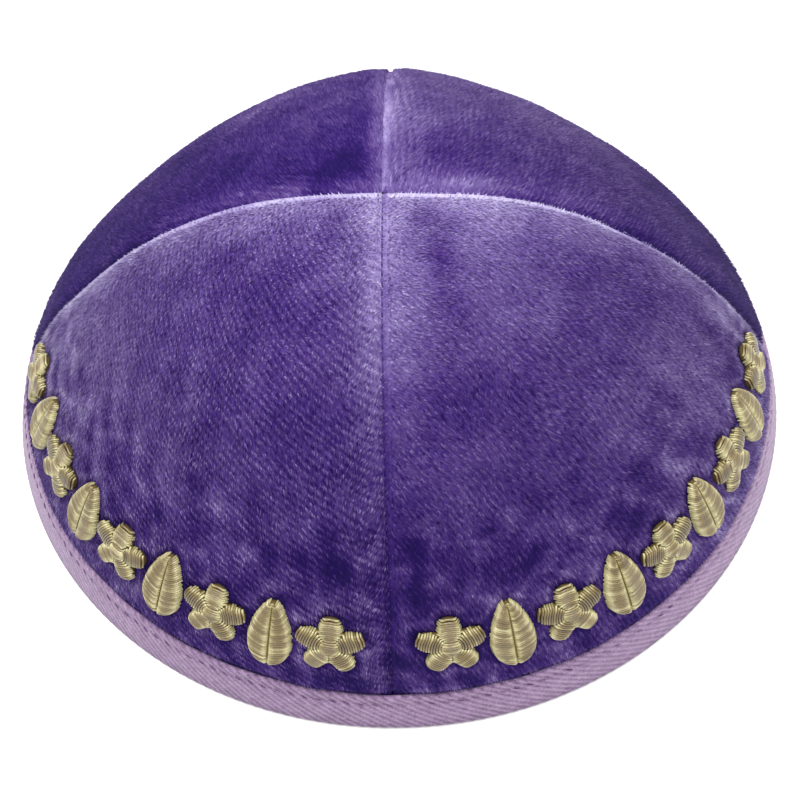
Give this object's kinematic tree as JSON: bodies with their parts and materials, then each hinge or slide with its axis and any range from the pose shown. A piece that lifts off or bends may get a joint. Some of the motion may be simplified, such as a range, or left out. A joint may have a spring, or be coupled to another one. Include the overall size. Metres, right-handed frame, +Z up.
{
  "type": "kippah skullcap",
  "caption": "Domed velvet skullcap of sewn gores with a folded twill rim tape and raised embroidery along the front.",
  "frame": {"origin": "centre of the rim, in the plane of the floor that the rim rests on", "axes": "+Z up through the crown, -Y towards the embroidered front, +X to the right as seen from the front, along the rim's longer width"},
  "size_m": [0.1834, 0.1674, 0.0708],
  "materials": {
    "velvet": "violet velvet pile, soft sheen",
    "twill_tape": "matt lilac cotton twill",
    "embroidery_thread": "satin-stitched pale gold thread"
  },
  "bodies": {
    "root": {"panel_front_left": "velvet", "panel_front_right": "velvet", "panel_back_right": "velvet", "panel_back_left": "velvet", "rim_binding": "twill_tape", "flower_left_1": "embroidery_thread", "leaf_left_2": "embroidery_thread", "flower_left_3": "embroidery_thread", "leaf_left_4": "embroidery_thread", "flower_left_5": "embroidery_thread", "leaf_left_6": "embroidery_thread", "flower_left_7": "embroidery_thread", "leaf_left_8": "embroidery_thread", "flower_left_9": "embroidery_thread", "flower_right_1": "embroidery_thread", "leaf_right_2": "embroidery_thread", "flower_right_3": "embroidery_thread", "leaf_right_4": "embroidery_thread", "flower_right_5": "embroidery_thread", "leaf_right_6": "embroidery_thread", "flower_right_7": "embroidery_thread", "leaf_right_8": "embroidery_thread", "flower_right_9": "embroidery_thread"}
  },
  "joints": []
}
